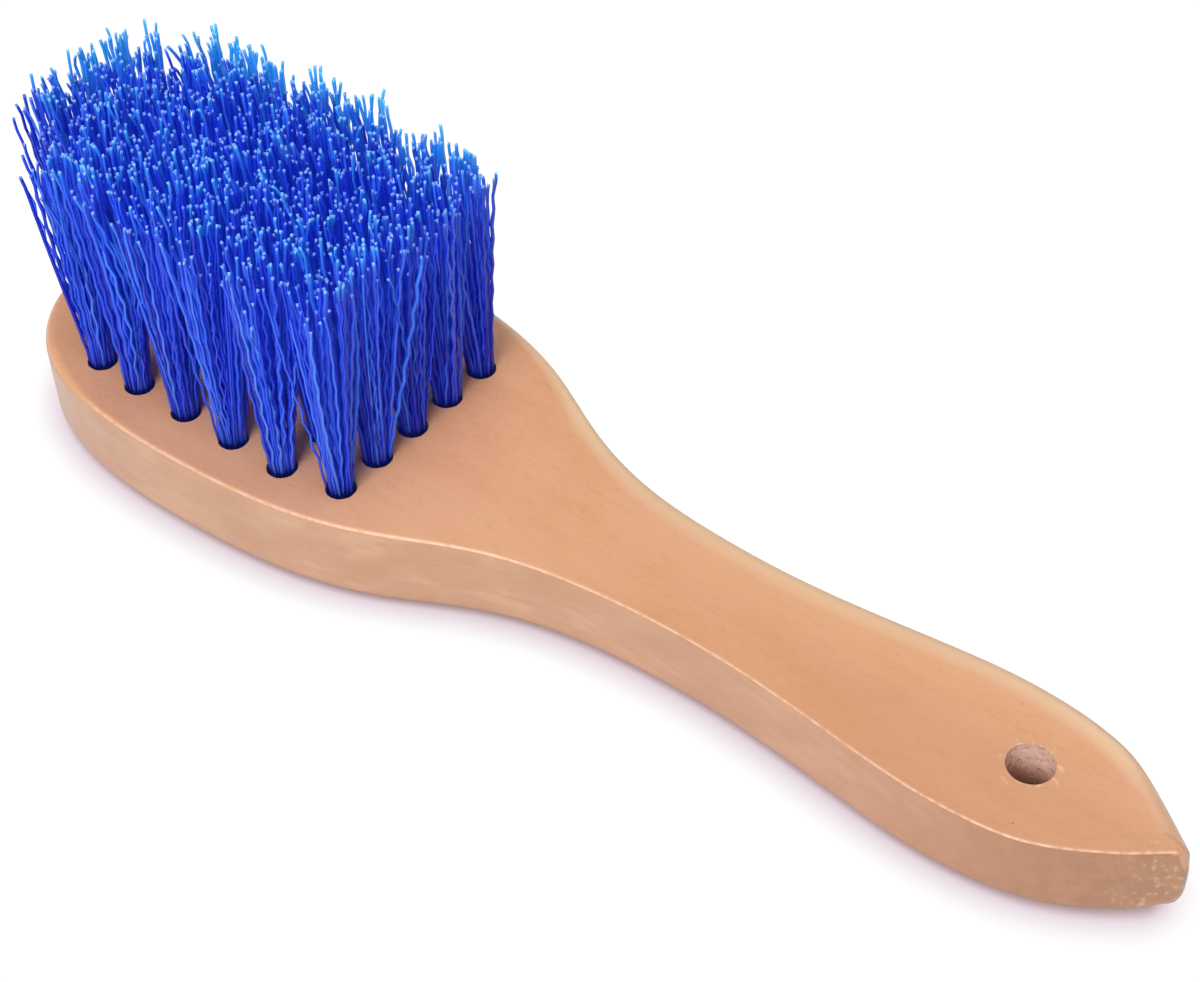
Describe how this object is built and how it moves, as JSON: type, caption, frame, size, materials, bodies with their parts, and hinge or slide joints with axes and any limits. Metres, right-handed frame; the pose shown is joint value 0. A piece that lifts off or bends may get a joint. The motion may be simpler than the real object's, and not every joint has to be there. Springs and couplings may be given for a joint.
{
  "type": "hoof brush",
  "caption": "Wooden hoof brush with a paddle head, a waisted handle drilled for hanging, and stiff crimped blue bristles.",
  "frame": {"origin": "on the flat underside of the block, on its centre line, below the fourth column of tufts", "axes": "+X along the handle to its nose, +Y across the head, +Z from the underside towards the bristle tips"},
  "size_m": [0.2416, 0.0682, 0.0634],
  "materials": {
    "lacquered_wood": "satin lacquer",
    "blue_filament": "smooth crimped filament"
  },
  "bodies": {
    "root": {"wooden_block": "lacquered_wood", "tuft_column1_row1": "blue_filament", "tuft_column1_row2": "blue_filament", "tuft_column1_row3": "blue_filament", "tuft_column2_row1": "blue_filament", "tuft_column2_row2": "blue_filament", "tuft_column2_row3": "blue_filament", "tuft_column2_row4": "blue_filament", "tuft_column2_row5": "blue_filament", "tuft_column3_row1": "blue_filament", "tuft_column3_row2": "blue_filament", "tuft_column3_row3": "blue_filament", "tuft_column3_row4": "blue_filament", "tuft_column3_row5": "blue_filament", "tuft_column4_row1": "blue_filament", "tuft_column4_row2": "blue_filament", "tuft_column4_row3": "blue_filament", "tuft_column4_row4": "blue_filament", "tuft_column4_row5": "blue_filament", "tuft_column5_row1": "blue_filament", "tuft_column5_row2": "blue_filament", "tuft_column5_row3": "blue_filament", "tuft_column5_row4": "blue_filament", "tuft_column5_row5": "blue_filament", "tuft_column6_row1": "blue_filament", "tuft_column6_row2": "blue_filament", "tuft_column6_row3": "blue_filament", "tuft_column6_row4": "blue_filament", "tuft_column6_row5": "blue_filament", "tuft_column7_row1": "blue_filament", "tuft_column7_row2": "blue_filament", "tuft_column7_row3": "blue_filament", "tuft_column7_row4": "blue_filament", "tuft_column7_row5": "blue_filament"}
  },
  "joints": []
}
